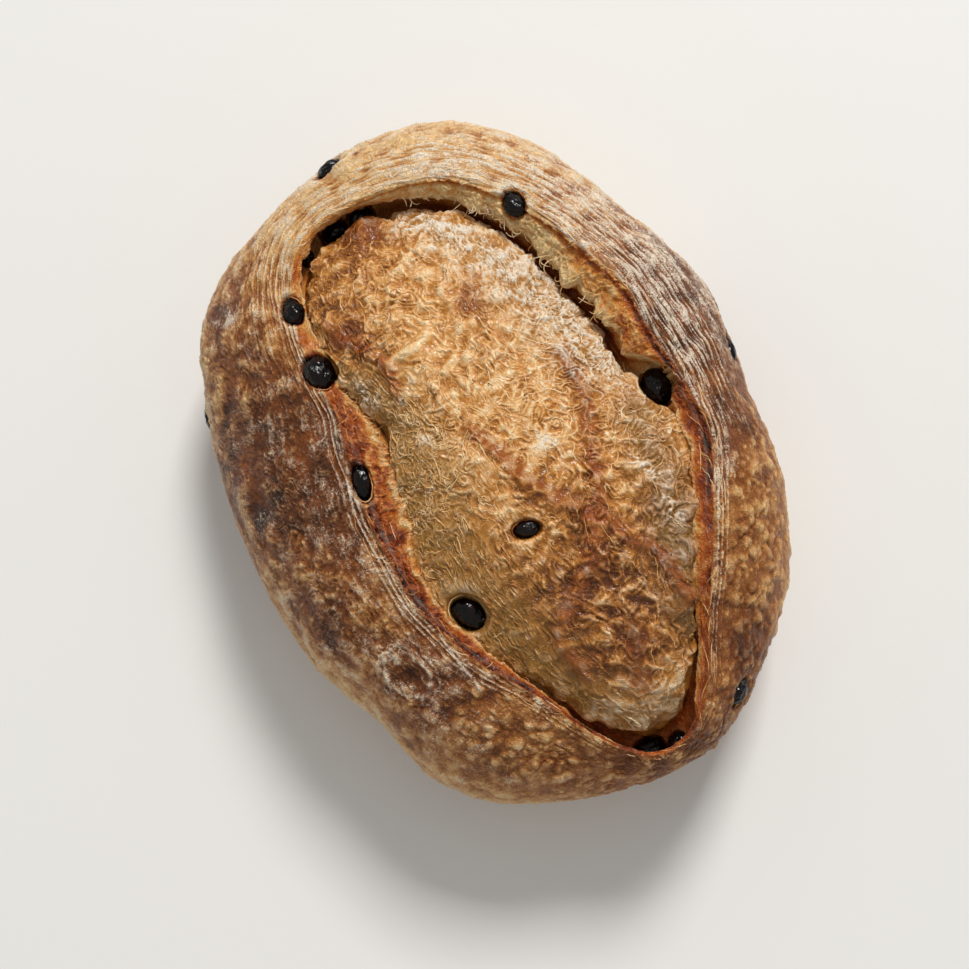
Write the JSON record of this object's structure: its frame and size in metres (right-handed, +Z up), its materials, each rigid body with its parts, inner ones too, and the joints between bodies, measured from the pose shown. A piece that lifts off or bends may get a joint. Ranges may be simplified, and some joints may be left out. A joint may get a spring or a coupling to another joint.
{
  "type": "raisin bread loaf",
  "caption": "Oval raisin sourdough loaf, baked whole and uncut, split open along its top, with raisins in crust and crumb.",
  "frame": {"origin": "middle of the flat underside, at the centre of the loaf's bounding box", "axes": "+X along the loaf's long axis, +Y across it towards the side whose crust stands up as an ear, +Z up"},
  "size_m": [0.244, 0.1846, 0.0892],
  "materials": {
    "crust": "matte",
    "raisin": "satin"
  },
  "bodies": {
    "root": {"loaf": "crust", "raisin_left_big": "raisin", "raisin_left_veiled": "raisin", "raisin_top_lip": "raisin", "raisin_dome_small": "raisin", "raisin_lower_left": "raisin", "raisin_left_torn": "raisin", "raisin_tip_upper": "raisin", "raisin_tip_lower": "raisin", "raisin_tip_dark": "raisin", "raisin_right_hollow": "raisin", "raisin_end_wide": "raisin", "raisin_end_narrow": "raisin", "raisin_lower_right": "raisin", "raisin_right_mid": "raisin", "raisin_right_upper": "raisin", "raisin_left_low": "raisin", "raisin_left_mid": "raisin", "raisin_burst_upper": "raisin", "raisin_burst_lower": "raisin"}
  },
  "joints": []
}
